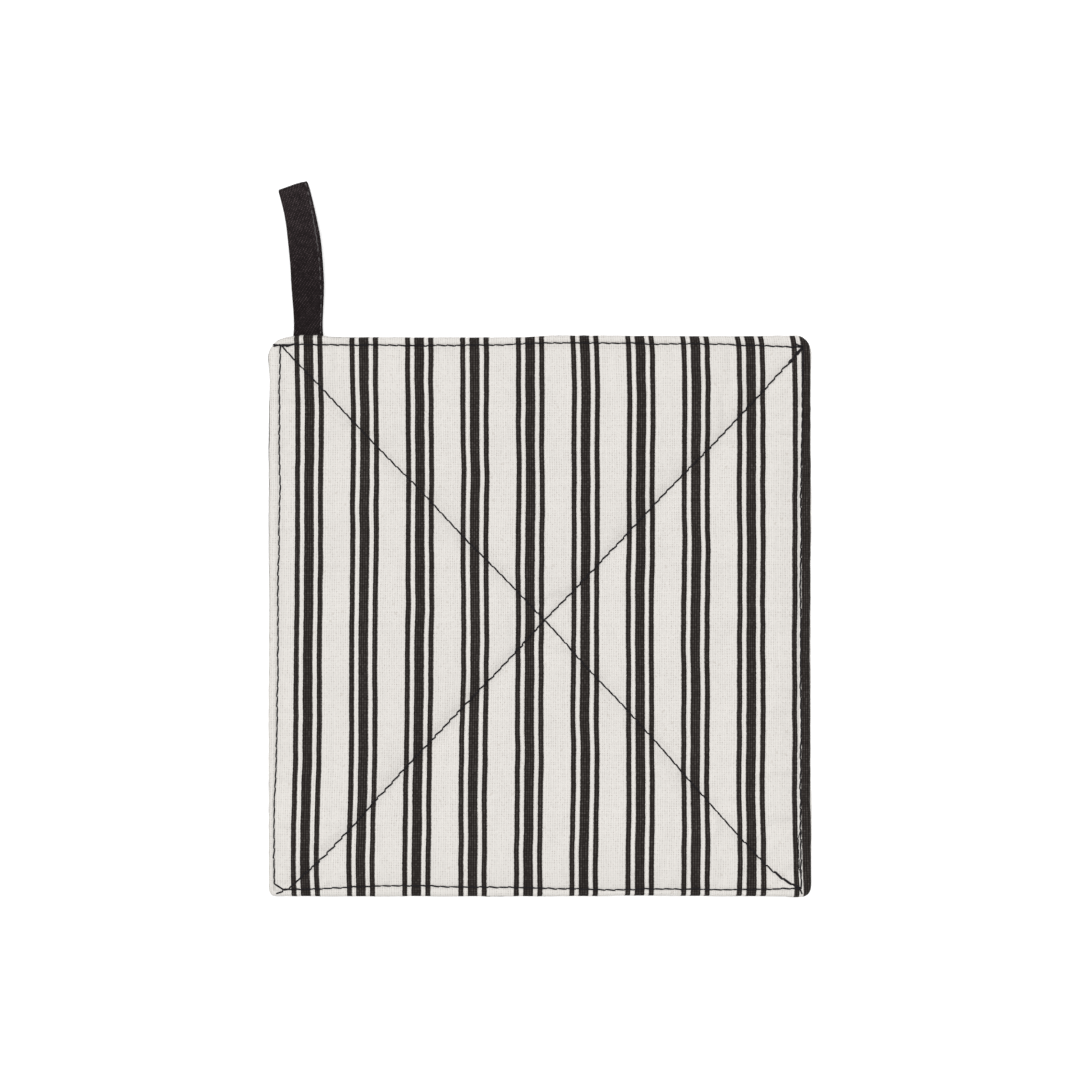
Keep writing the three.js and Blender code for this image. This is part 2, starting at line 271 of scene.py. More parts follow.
def edge_swell(x, y):
    """How far the pad's outline swells out: over the strap, at its corners, and in a slow wander."""
    half = PAD_HEIGHT / 2
    wander = SLOW_WANDER * line_noise(x + WANDER_SKEW * y, 21, SLOW_WANDER_WAVE)
    wander = wander + FINE_WANDER * line_noise(x + WANDER_SKEW * y, 22, FINE_WANDER_WAVE)
    swell = wander - OUTLINE_INSET - NEAR_EDGE_INSET * share(-y, half - EDGE_BAND, half) ** 2
    swell = swell + FAR_RIGHT_SWELL * share(y, half - EDGE_BAND, half) ** 2 * share(x, -8, 4)
    swell = swell + STRAP_SWELL * np.exp(-(((x - LOOP_X) / STRAP_SWELL_REACH) ** 4)) * (y > half - 1)
    if x < 0 < y:
        swell = swell + bumps(y, FAR_LEFT_SWELLS)
    if y <= 0 <= x:
        swell = swell + bumps(x, NEAR_RIGHT_SWELLS)
    return swell


def outline(count):
    """Points round the pad's outer edge, count to a side, from the near left corner anticlockwise."""
    corners = np.array([(-1, -1), (1, -1), (1, 1), (-1, 1)]) * (PAD_WIDTH / 2, PAD_HEIGHT / 2)
    sides = []
    for side in range(4):
        a, b = corners[side], corners[(side + 1) % 4]
        ra, rb = CORNER_RADII[side], CORNER_RADII[(side + 1) % 4]
        length = np.linalg.norm(b - a)
        along = (b - a) / length
        axes = np.array([along, (-along[1], along[0])])
        straight = length - ra - rb
        s = (straight + (ra + rb) * math.pi / 4) * np.arange(count) / count - ra * math.pi / 4
        turn = np.maximum(-s / ra, 0) + np.minimum((straight - s) / rb, 0)
        outward = np.stack([-np.sin(turn), -np.cos(turn)], axis=-1)
        radius = np.where(turn > 0, ra, rb)[:, None]
        middle = np.stack([ra + np.clip(s, 0, straight), radius[:, 0]], axis=-1)
        places = a + (middle + radius * outward) @ axes
        swell = np.array([edge_swell(*place) for place in places])
        sides.append(places + outward @ axes * swell[:, None])
    return np.concatenate(sides)


# ---- cloth simulation of the quilting ----

SIM_SCALE = 0.01       # metres in the simulation to a millimetre: ten times life size
SIM_FRAMES = 26
CLOTH = dict(
    quality=6, mass=0.25, tension_stiffness=12, compression_stiffness=12, shear_stiffness=4,
    bending_stiffness=0.12, vertex_group_mass="sewn", pin_stiffness=1, shrink_min=-0.010,
    shrink_max=-0.024, vertex_group_shrink="loose", use_pressure=True, uniform_pressure_force=5,
)
START_WAVE, START_WAVELENGTH = 0.15, 14      # waves of the cloth before it is blown up
SLACK_WAVELENGTH = 45


def grid_quads(size):
    index = np.arange(size * size).reshape(size, size)
    corners = (index[:-1, :-1], index[1:, :-1], index[1:, 1:], index[:-1, 1:])
    return index, np.stack(corners, axis=-1).reshape(-1, 4)


def ring_places(cells):
    """Grid places round the square's edge, anticlockwise from the near left corner."""
    up, down = np.arange(cells), np.arange(cells, 0, -1)
    low, high = 0 * up, 0 * up + cells
    return np.stack([np.r_[up, high, down, low], np.r_[low, up, high, down]], axis=-1)


def diagonal_places(rising):
    """Grid places of a diagonal's needle holes, from its near end to its far end."""
    return [(k if rising else CELLS - k, k) for k in range(0, CELLS + 1, DIAGONAL_STITCH)]


def quilting_sheet(flat, sewn, slack):
    """The flat cloth as a mesh, with the sewn places and the looseness of the cloth as vertex groups."""
    index, quads = grid_quads(len(flat))
    mesh = bpy.data.meshes.new("quilting")
    mesh.from_pydata((flat.reshape(-1, 3) * SIM_SCALE).tolist(), [], quads.tolist())
    sheet = placed("quilting", mesh)
    sheet.vertex_groups.new(name="sewn").add(index[sewn].tolist(), 1.0, "REPLACE")
    loose = sheet.vertex_groups.new(name="loose")
    for i, weight in enumerate(slack.ravel().tolist()):
        loose.add([i], weight, "REPLACE")
    return sheet


def add_cloth(sheet):
    cloth = sheet.modifiers.new("cloth", "CLOTH")
    for name, value in CLOTH.items():
        setattr(cloth.settings, name, value)
    cloth.settings.effector_weights.gravity = 0
    cloth.collision_settings.use_collision = False


def simulated_shift(seed):
    """How far each place of the cloth moves, held along the stitch lines and pushed out by wadding."""
    side = np.linspace(-1, 1, CELLS // SIM_STEP + 1)
    u, v = np.meshgrid(side, side, indexing="ij")
    ring = np.maximum(abs(u), abs(v))
    x, y = plan(u, v)
    beside_diagonal = abs(abs(u) - abs(v))
    wave = START_WAVE * field_noise(x, y, seed, START_WAVELENGTH)
    flat = np.stack([x, y, wave * (1 - ring)], axis=-1)
    sewn = (ring > 1 - EXACT) | (beside_diagonal < EXACT)
    slack = 0.5 + 0.5 * np.clip(field_noise(x, y, seed + 1, SLACK_WAVELENGTH), -1, 1)
    sheet = quilting_sheet(flat, sewn, slack)
    add_cloth(sheet)
    scene = bpy.context.scene
    for step in range(1, SIM_FRAMES + 1):
        scene.frame_set(step)
    bpy.ops.object.select_all(action="DESELECT")
    bpy.context.view_layer.objects.active = sheet
    sheet.select_set(True)
    bpy.ops.object.modifier_apply(modifier="cloth")
    mesh = sheet.data
    moved = np.array([p.co for p in mesh.vertices], float).reshape(flat.shape) / SIM_SCALE
    scene.frame_set(1)
    bpy.data.objects.remove(sheet)
    bpy.data.meshes.remove(mesh)
    return moved - np.stack([x, y, 0 * x], axis=-1)


def blurred(field):
    for _ in range(BLUR_PASSES):
        padded = np.pad(field, 1, mode="edge")
        beside = padded[:-2, 1:-1] + padded[2:, 1:-1] + padded[1:-1, :-2] + padded[1:-1, 2:]
        field = (beside + 4 * field) / 8
    return field


# ---- the quilted square ----

CELL_ALONG = PAD_WIDTH / CELLS
FULLNESS = 0.85                              # how soon the crown levels off
WRINKLE_LIMIT, WRINKLE_KEPT, BLUR_PASSES = 0.8, 0.5, 6
SLIP_KEPT = 0.5                              # share of the simulated sideways slip
WADDING_WAVE, WADDING_WAVE_REACH, WADDING_WAVELENGTH = 0.14, 12, 38
PUCKER, PUCKER_REACH, PUCKER_SLANT = 0.17, 1.8, 0.25
FINE_PUCKERS, BROAD_PUCKERS, BROAD_PUCKER_SHARE = 2.3, 5.5, 0.7
GROOVE, GROOVE_REACH = 0.2, 0.8
HOLE_DEPTH = 0.25
# Sideways wander of the stitch lines, and how far beside them the cloth follows.
RISING, FALLING, RIGHT, LEFT, FAR, NEAR = range(6)
SEAM_WANDER = {RISING: 0.26, FALLING: 0.24, RIGHT: 0.2, LEFT: 0.4, FAR: 0.16, NEAR: 0.2}
LINE_ACROSS = {
    RISING: (-0.71, 0.71), FALLING: (0.71, 0.71), RIGHT: (1, 0), LEFT: (1, 0), FAR: (0, 1), NEAR: (0, 1),
}
SLOW_SEAM_WAVE, FINE_SEAM_WAVE, FINE_SEAM_SHARE = 23, 7, 0.45
SEAM_REACH, DIAGONAL_END = 5, 6


def sewn_lines(u, v):
    """For each line of stitches: its name, the signed distance from it and the place along it."""
    half = PAD_WIDTH / 2
    root = math.sqrt(2)
    yield RISING, (v - u) * half / root, (u + v) * half / root
    yield FALLING, (u + v) * half / root, (u - v) * half / root
    yield RIGHT, (u - 1) * half, v * half
    yield LEFT, (u + 1) * half, v * half
    yield FAR, (v - 1) * half, u * half
    yield NEAR, (v + 1) * half, u * half


def beside_stitches(u, v):
    """Distance from the nearest line of stitches."""
    return np.minimum.reduce([abs(away) for _, away, _ in sewn_lines(u, v)])


class Quilt:
    """The stitched square of one panel: its flat plan and its fine grid of points."""

    def __init__(self, side, seed):
        self.side = side
        self.seed = seed
        line = np.linspace(-1, 1, CELLS + 1)
        self.u, self.v = np.meshgrid(line, line, indexing="ij")
        flat_x, flat_y = plan(self.u, self.v)
        wander_x, wander_y = self.seam_wander()
        self.flat_x, self.flat_y = flat_x + wander_x, flat_y + wander_y
        weights = cubic_weights(CELLS // SIM_STEP, SIM_STEP)
        shift = simulated_shift(seed)
        rise = np.maximum(shift[..., 2], 0)
        wrinkle = np.clip(shift[..., 2] - blurred(shift[..., 2]), -WRINKLE_LIMIT, WRINKLE_LIMIT)
        level = CROWN * np.tanh(rise / CROWN * FULLNESS) + wrinkle * WRINKLE_KEPT
        level = weights @ level @ weights.T + self.undulation() + self.puckers() + self.needle_holes()
        slip_x, slip_y = (SLIP_KEPT * (weights @ shift[..., k] @ weights.T) for k in range(2))
        x = CENTRE_X + self.flat_x + slip_x
        y = CENTRE_Y + self.flat_y + slip_y
        self.points = np.stack([x, y, MID_Z + side * (STITCH_LEVEL + level)], axis=-1)

    def seam_wander(self):
        """Sideways wander of the stitch lines, which take the cloth beside them along."""
        dx, dy = 0, 0
        to_edge = (1 - np.maximum(abs(self.u), abs(self.v))) * PAD_WIDTH / 2
        for name, away, along in sewn_lines(self.u, self.v):
            near = np.exp(-abs(away) / SEAM_REACH)
            if name in (RISING, FALLING):
                near = near * share(to_edge, 0, DIAGONAL_END)
            slow = line_noise(along, 70 + name, SLOW_SEAM_WAVE)
            wander = slow + FINE_SEAM_SHARE * line_noise(along, 80 + name, FINE_SEAM_WAVE)
            wander = wander * SEAM_WANDER[name] * near
            dx = dx + wander * LINE_ACROSS[name][0]
            dy = dy + wander * LINE_ACROSS[name][1]
        return dx, dy

    def undulation(self):
        """Broad unevenness of the wadding, away from the stitching."""
        wave = WADDING_WAVE * share(beside_stitches(self.u, self.v), 0, WADDING_WAVE_REACH)
        return wave * field_noise(self.flat_x, self.flat_y, self.seed + 5, WADDING_WAVELENGTH)

    def puckers(self):
        """Short ridges that run out from the stitches, and the groove that the thread pulls."""
        total = 0
        for name, away, along in sewn_lines(self.u, self.v):
            out = abs(away)
            seed = self.seed + 20 * name
            fine = line_noise(along, seed, FINE_PUCKERS)
            broad = line_noise(along + PUCKER_SLANT * out, seed + 1, BROAD_PUCKERS)
            ridges = PUCKER * (fine + BROAD_PUCKER_SHARE * broad)
            total = total + ridges * (out / PUCKER_REACH) * np.exp(1 - out / PUCKER_REACH)
            total = total - GROOVE * np.exp(-((out / GROOVE_REACH) ** 2))
        return total

    def needle_holes(self):
        """The dent of the cloth at each hole."""
        dents = np.zeros_like(self.u)
        for i, j in [*ring_places(CELLS)[::EDGE_STITCH], *diagonal_places(True), *diagonal_places(False)]:
            dents[i, j] = -HOLE_DEPTH
        return dents

    def places(self, steps):
        """Plan positions of a list of grid places."""
        return np.array([self.points[i, j, :2] for i, j in steps])


# ---- meshes ----

def mesh_object(name, points_mm, faces, uv, material):
    """A smooth mesh object in metres; uv holds a pair of cloth coordinates for each point."""
    mesh = bpy.data.meshes.new(name)
    mesh.from_pydata((np.asarray(points_mm) * MM).tolist(), [], [list(f) for f in faces])
    layer = mesh.uv_layers.new(name="Cloth")
    corners = np.zeros(len(mesh.loops), np.int32)
    mesh.loops.foreach_get("vertex_index", corners)
    layer.data.foreach_set("uv", np.asarray(uv, np.float32)[corners].ravel())
    mesh.polygons.foreach_set("use_smooth", [True] * len(mesh.polygons))
    mesh.materials.append(material)
    return placed(name, mesh)


# The border's section: share of the way from stitching to outline, and height above the mid-plane.
# It rises over the wadding's edge, rounds over to the seam, and turns in as the seam allowance.
BORDER = (
    (0.18, 1.98), (0.36, 2.2), (0.54, 2.24), (0.7, 2.1), (0.84, 1.8), (0.95, 1.35),
    (1.0, 0.85), (1.0, 0.5), (0.96, 0.2), (0.75, 0.13), (0.3, 0.16), (-0.4, 0.22), (-1.6, 0.3),
)
BORDER_TOP = max(height for _, height in BORDER)
GATHER_WAVELENGTH, GATHER_SPREAD, GATHER_HEIGHT = 3.1, 0.09, 0.12


def border_rows(quilt):
    """Points and cloth coordinates of the rows of mesh outside the edge stitching."""
    places = ring_places(CELLS)
    flat = np.stack([quilt.flat_x[tuple(places.T)], quilt.flat_y[tuple(places.T)]], axis=-1)
    way = outline(CELLS) - flat
    reach = np.linalg.norm(way, axis=1)
    direction = way / reach[:, None]
    count = np.arange(len(places))
    gathers = line_noise(count * CELL_ALONG, quilt.seed + 300, GATHER_WAVELENGTH)
    between_holes = -0.5 * np.cos(2 * math.pi * count / EDGE_STITCH)
    rows, cloth = [], []
    travelled = 0
    before_out, before_height = 0.0, STITCH_LEVEL
    for out, height in BORDER:
        travelled = travelled + np.hypot((out - before_out) * reach, height - before_height)
        before_out, before_height = out, height
        inside = np.clip(out, 0, 1)
        spread = flat + way * out + direction * (GATHER_SPREAD * gathers * inside)[:, None]
        lift = height / BORDER_TOP * GATHER_HEIGHT * (gathers + between_holes * (1 - inside))
        z = MID_Z + quilt.side * (height + lift)
        rows.append(np.stack([CENTRE_X + spread[:, 0], CENTRE_Y + spread[:, 1], z], axis=-1))
        unrolled = direction * travelled[:, None]
        cloth.append(cloth_position(flat[:, 0], flat[:, 1]) + unrolled - edge_lean(flat, travelled))
    return rows, cloth


def edge_lean(flat, travelled):
    """The extra lean of the stripes between the far edge's stitching and the seam."""
    x, inside = flat[:, 0], PAD_HEIGHT / 2 - flat[:, 1]
    lean = (far_edge_lean(x, inside - travelled) - far_edge_lean(x, inside)) * (flat[:, 1] > 0)
    return np.stack([-lean, 0 * lean], axis=-1)


def ring_of_faces(inner, outer):
    return np.stack([inner, outer, np.roll(outer, -1), np.roll(inner, -1)], axis=-1)


def panel_mesh(quilt):
    """Points, faces and cloth coordinates of a panel, with its turned-in allowance."""
    index, quads = grid_quads(CELLS + 1)
    rows, cloth = border_rows(quilt)
    faces = [quads]
    inner = index[tuple(ring_places(CELLS).T)]
    start = index.size
    for row in rows:
        outer = start + np.arange(len(row))
        faces.append(ring_of_faces(inner, outer))
        inner = outer
        start += len(row)
    faces = np.concatenate(faces)
    if quilt.side < 0:
        faces = faces[:, ::-1]
    points = np.concatenate([quilt.points.reshape(-1, 3)] + rows)
    square = cloth_position(quilt.flat_x, quilt.flat_y).reshape(-1, 2)
    return points, faces.tolist(), np.concatenate([square] + cloth)


PLY_CLEARANCE = 0.7                          # below the panel
SEAM_CLEARANCE, SEAM_CLEARANCE_REACH = 0.75, 3
PRESSED_PLY = 0.35
PLY_BASE, PLY_LUMPS, PLY_LUMP_WAVELENGTH = 0.12, 0.05, 9


def wadding(name, quilt, material):
    """A wadding ply: it follows the underside of its panel and ends just inside the edge stitching."""
    top = quilt.points[::SIM_STEP, ::SIM_STEP].copy()
    u, v = quilt.u[::SIM_STEP, ::SIM_STEP], quilt.v[::SIM_STEP, ::SIM_STEP]
    clearance = PLY_CLEARANCE + SEAM_CLEARANCE * np.exp(-beside_stitches(u, v) / SEAM_CLEARANCE_REACH)
    height = quilt.side * (top[..., 2] - MID_Z) - clearance
    bottom = top.copy()
    lumps = PLY_LUMPS * field_noise(top[..., 0], top[..., 1], quilt.seed + 40, PLY_LUMP_WAVELENGTH)
    top[..., 2] = MID_Z + quilt.side * np.maximum(height, PRESSED_PLY)
    bottom[..., 2] = MID_Z + quilt.side * (PLY_BASE + lumps)
    index, quads = grid_quads(len(top))
    ring = index[tuple(ring_places(len(top) - 1).T)]
    faces = np.concatenate([quads, quads[:, ::-1] + index.size, ring_of_faces(ring, ring + index.size)])
    if quilt.side < 0:
        faces = faces[:, ::-1]
    points = np.concatenate([top.reshape(-1, 3), bottom.reshape(-1, 3)])
    return mesh_object(name, points, faces.tolist(), points[:, :2], material)


# ---- thread ----

THREAD_SIDES = 8
THREAD_RADIUS = 0.31
STRAND_STEPS = 6
PROBE_HEIGHT = 30      # from where the cloth below a stitch is looked for
LEAST_SLANT = 0.5      # a stitch lies askew by this share of its seam's slant, or up to 1 more
LEAST_TIGHT, TIGHT_RANGE = 0.85, 0.3
# A stitch's shape between two needle holes: share of the way, and height of its middle above the cloth.
STITCH_SHAPE = ((0.0, -0.14), (0.13, 0.08), (0.3, 0.2), (0.5, 0.24), (0.7, 0.2), (0.87, 0.08))
# The strap's stitches are pulled in tighter: each shows for half its length.
TIGHT_STITCH = ((0.0, -0.3), (0.2, -0.3), (0.34, -0.1), (0.5, 0.15), (0.66, -0.1), (0.8, -0.3))


def travelled_along(path):
    """Distance travelled at each point of a path."""
    return np.concatenate([[0], np.cumsum(np.linalg.norm(np.diff(path, axis=0), axis=1))])


def unit_rows(rows):
    return rows / np.linalg.norm(rows, axis=1, keepdims=True)


def sleeve_faces(rings):
    """Faces round a row of rings of points, closed at both ends."""
    faces = []
    for low, high in zip(rings[:-1], rings[1:]):
        faces += ring_of_faces(low, high).tolist()
    return faces + [rings[0].tolist(), rings[-1][::-1].tolist()]


def tube(path, radius, first):
    """Points, faces and cloth coordinates of a closed tube, its points numbered from first."""
    path = np.asarray(path, float)
    tangent = unit_rows(np.gradient(path, axis=0))
    side = np.cross(tangent, (0.0, 0.0, 1.0))
    side[np.linalg.norm(side, axis=1) < EXACT] = (1.0, 0.0, 0.0)
    side = unit_rows(side)
    up = np.cross(side, tangent)
    turns = np.arange(THREAD_SIDES) * 2 * math.pi / THREAD_SIDES
    ring = np.cos(turns)[:, None, None] * side[None] + np.sin(turns)[:, None, None] * up[None]
    points = (path[None] + radius * ring).transpose(1, 0, 2).reshape(-1, 3)
    uv = [(s, k / THREAD_SIDES) for s in travelled_along(path) for k in range(THREAD_SIDES)]
    rings = first + np.arange(len(path) * THREAD_SIDES).reshape(-1, THREAD_SIDES)
    return points, sleeve_faces(rings), uv


def thread_object(name, paths, radius, material, plies=()):
    """Threads along paths, and single plies of half their thickness."""
    points, faces, uv = [], [], []
    for path, thickness in [(path, radius) for path in paths] + [(ply, radius / 2) for ply in plies]:
        more_points, more_faces, more_uv = tube(path, thickness, len(points))
        points += more_points.tolist()
        faces += more_faces
        uv += more_uv
    return mesh_object(name, points, faces, uv, material)


class Needle:
    """Lays thread on a panel: it finds the cloth under each place of the plan."""

    def __init__(self, quilt, points, faces):
        self.side = quilt.side
        self.tree = BVHTree.FromPolygons(points.tolist(), faces)

    def over_cloth(self, place, height):
        start = Vector((place[0], place[1], MID_Z + self.side * PROBE_HEIGHT))
        hit = self.tree.ray_cast(start, Vector((0, 0, -self.side)))[0]
        z = hit.z if hit else MID_Z
        return np.array((place[0], place[1], z + self.side * height))

    def seam(self, holes, seed, slant, lift=0.0):
        """A thread through a row of needle holes, each stitch lying a little askew."""
        rng = np.random.default_rng(seed)
        path = []
        for a, b in zip(holes[:-1], holes[1:]):
            way = b - a
            across = np.array((-way[1], way[0])) / max(np.linalg.norm(way), EXACT)
            lean = slant * (LEAST_SLANT + rng.random())
            tight = LEAST_TIGHT + TIGHT_RANGE * rng.random()
            for along, height in STITCH_SHAPE:
                place = a + way * along + across * lean * (0.5 - along)
                path.append(self.over_cloth(place, lift + height * tight))
        path.append(self.over_cloth(holes[-1], lift + STITCH_SHAPE[0][1]))
        return path

    def strand(self, places, heights):
        """A loose bit of thread along a smooth curve through a few places."""
        curve = cubic_weights(len(places) - 1, STRAND_STEPS)
        return [self.over_cloth(p, h) for p, h in zip(curve @ places, curve @ heights)]


# ---- node materials ----

class NodeTree:
    """Short ways to add nodes to a material's or a world's node tree."""

    def __init__(self, owner, shader):
        owner.use_nodes = True
        self.tree = owner.node_tree
        self.shader = self.tree.nodes[shader]

    def feed(self, socket, value):
        if isinstance(value, bpy.types.NodeSocket):
            self.tree.links.new(value, socket)
        elif isinstance(value, tuple) and len(value) == 3:
            socket.default_value = (*value, 1.0)
        else:
            socket.default_value = value

    def node(self, kind, inputs, **settings):
        node = self.tree.nodes.new(kind)
        for key, value in settings.items():
            setattr(node, key, value)
        for key, value in inputs.items():
            self.feed(node.inputs[key], value)
        return node

    def math(self, operation, a, b=0.0, c=0.0):
        return self.node("ShaderNodeMath", {0: a, 1: b, 2: c}, operation=operation).outputs[0]

    def add(self, a, b):
        return self.math("ADD", a, b)

    def times(self, a, b):
        return self.math("MULTIPLY", a, b)

    def ramp(self, value, low, high, to_low=0.0, to_high=1.0):
        inputs = {"Value": value, "From Min": low, "From Max": high, "To Min": to_low, "To Max": to_high}
        return self.node("ShaderNodeMapRange", inputs, interpolation_type="SMOOTHSTEP").outputs["Result"]

    def within(self, distance, reach, softness):
        """1 inside a distance and 0 outside it, with a soft edge."""
        return self.ramp(distance, reach - softness, reach + softness, 1, 0)

    def mix(self, amount, a, b):
        return self.node("ShaderNodeMix", {0: amount, 6: a, 7: b}, data_type="RGBA").outputs[2]

    def scaled(self, colour, factor):
        """A colour darkened or lightened by a number."""
        grey = self.node("ShaderNodeCombineColor", {0: factor, 1: factor, 2: factor}).outputs[0]
        inputs = {0: 1.0, 6: colour, 7: grey}
        return self.node("ShaderNodeMix", inputs, data_type="RGBA", blend_type="MULTIPLY").outputs[2]

    def noise(self, vector, scale, detail=2.0, roughness=0.5):
        inputs = {"Vector": vector, "Scale": scale, "Detail": detail, "Roughness": roughness}
        return self.node("ShaderNodeTexNoise", inputs).outputs["Fac"]

    def vector(self, x, y, z=0.0):
        return self.node("ShaderNodeCombineXYZ", {"X": x, "Y": y, "Z": z}).outputs[0]

    def cloth_coordinates(self):
        uv = self.node("ShaderNodeUVMap", {}, uv_map="Cloth").outputs[0]
        parts = self.node("ShaderNodeSeparateXYZ", {0: uv})
        return uv, parts.outputs["X"], parts.outputs["Y"]

    def random_of(self, number, second=0.0):
        """A random number from 0 to 1 for a pair of whole numbers."""
        inputs = {"Vector": self.vector(number, second, 0.5)}
        return self.node("ShaderNodeTexWhiteNoise", inputs, noise_dimensions="3D").outputs["Value"]


class Material(NodeTree):
    """A Principled material, with the nodes that feed it."""

    def __init__(self, name, specular, sheen=0.0):
        self.material = bpy.data.materials.new(name)
        super().__init__(self.material, "Principled BSDF")
        self.shader.inputs["Sheen Weight"].default_value = sheen
        self.shader.inputs["Specular IOR Level"].default_value = specular

    def bump(self, height, distance, strength):
        inputs = {"Height": height, "Distance": distance, "Strength": strength}
        self.feed(self.shader.inputs["Normal"], self.node("ShaderNodeBump", inputs).outputs["Normal"])

    def surface(self, colour, roughness):
        self.feed(self.shader.inputs["Base Color"], colour)
        self.feed(self.shader.inputs["Roughness"], roughness)


class Weave:
    """Plain weave over a material's cloth coordinates: its relief, its yarns' tones and its open gaps; the
    relief and the gaps also serve as masks for painted shade and highlight in the colour.
    """

    def __init__(self, m, x, y, pitch, wander):
        along_x, along_y = m.times(x, 0.07), m.times(y, 0.07)
        drift_x = m.noise(m.vector(m.times(x, 0.6), along_y), 1.0)
        drift_y = m.noise(m.vector(along_x, m.times(y, 0.6), 7.0), 1.0)
        u = m.add(m.math("DIVIDE", x, pitch), m.ramp(drift_x, 0, 1, -wander, wander))
        v = m.add(m.math("DIVIDE", y, pitch), m.ramp(drift_y, 0, 1, -wander, wander))
        self.warp, self.weft = m.math("FLOOR", u), m.math("FLOOR", v)
        self.wave_u = m.math("SINE", m.times(m.math("FRACT", u), math.pi))
        self.wave_v = m.math("SINE", m.times(m.math("FRACT", v), math.pi))
        sign = m.add(m.times(m.math("PINGPONG", m.add(self.warp, self.weft), 1.0), 2.0), -1.0)
        warp_height = m.times(self.wave_u, m.add(0.6, m.times(sign, m.times(self.wave_v, 0.4))))
        weft_height = m.times(self.wave_v, m.add(0.6, m.times(sign, m.times(self.wave_u, -0.4))))
        self.height = m.math("MAXIMUM", warp_height, weft_height)
        warp_on_top = m.math("GREATER_THAN", warp_height, weft_height)
        slub_u = m.noise(m.vector(m.times(self.warp, 3.7), m.times(y, 0.3)), 1.0, 3.0)
        slub_v = m.noise(m.vector(m.times(x, 0.3), m.times(self.weft, 3.7), 11.0), 1.0, 3.0)
        warp_tone = m.add(m.times(m.random_of(self.warp), 0.35), m.times(slub_u, 0.65))
        weft_tone = m.add(m.times(m.random_of(self.weft, 9.0), 0.35), m.times(slub_v, 0.65))
        below = m.math("SUBTRACT", 1.0, warp_on_top)
        self.tone = m.add(m.times(warp_on_top, warp_tone), m.times(below, weft_tone))
        self.warp_on_top = warp_on_top
        self.crossing = m.random_of(self.warp, self.weft)
        corner_u, corner_v = m.math("ROUND", u), m.math("ROUND", v)
        low = m.ramp(self.height, 0.1, 0.6, 1, 0)
        self.gap = m.math("POWER", m.times(low, m.random_of(corner_u, m.add(corner_v, 0.3))), 1.6)

    def shade(self, m, shade_beside_warp, shade_beside_weft):
        """How light the cloth is, from the shadowed lines beside its yarns to 1 on their crests."""
        warp = m.ramp(self.wave_u, 0.0, 0.85, m.math("SUBTRACT", 1.0, shade_beside_warp), 1.0)
        weft = m.ramp(self.wave_v, 0.0, 0.85, m.math("SUBTRACT", 1.0, shade_beside_weft), 1.0)
        return m.times(warp, weft)


WEAVE_PITCH, WEAVE_DRIFT = 0.852, 0.2
CREAM = (0.606, 0.585, 0.558)
# Painted shade in the open gaps between the yarns: its colour and how strongly it shows.
CREAM_GAP_SHADE, GAP_SHADE_DEPTH = (0.24, 0.2, 0.18), 0.64
CREAM_TONES = (0.968, 1.026)
# How dark the painted shade is in the lines beside the yarns.
SHADE_BESIDE_WARP, SHADE_BESIDE_WARP_OPEN, SHADE_BESIDE_WEFT = 0.07, 0.07, 0.012
FLECK, FLECK_DEPTH, NO_FLECK = (0.33, 0.28, 0.23), 0.22, 0.996
INK = (0.0105, 0.0078, 0.0068)
# The ink's yarn crests: a painted highlight, its strength varied at random as wear.
INK_WORN_AND_LIT = (0.063, 0.056, 0.052)
STRIPE_SOFTNESS = 0.06
SHAKY_EDGE, SLOW_EDGE = 0.3, 0.4


def stripe_mask(m, x, y, first_stripe):
    """1 on the black stripes: groups of one thick and two thin, with slightly shaky edges."""
    shaky = m.times(m.add(m.noise(m.vector(0.0, y, x), 1.3, 2.0), -0.5), SHAKY_EDGE)
    broad = m.vector(m.times(x, 0.05), m.times(y, 0.05), 5.0)
    slow = m.times(m.add(m.noise(broad, 1.0, 2.0), -0.5), SLOW_EDGE)
    place = m.add(m.add(x, -first_stripe), m.add(shaky, slow))
    away = m.math("ABSOLUTE", m.math("WRAP", place, STRIPE_REPEAT / 2, -STRIPE_REPEAT / 2))
    thick = m.within(away, THICK_STRIPE / 2, STRIPE_SOFTNESS)
    beside = m.math("ABSOLUTE", m.add(away, -THIN_OFFSET))
    return m.math("MAXIMUM", thick, m.within(beside, THIN_STRIPE / 2, STRIPE_SOFTNESS))


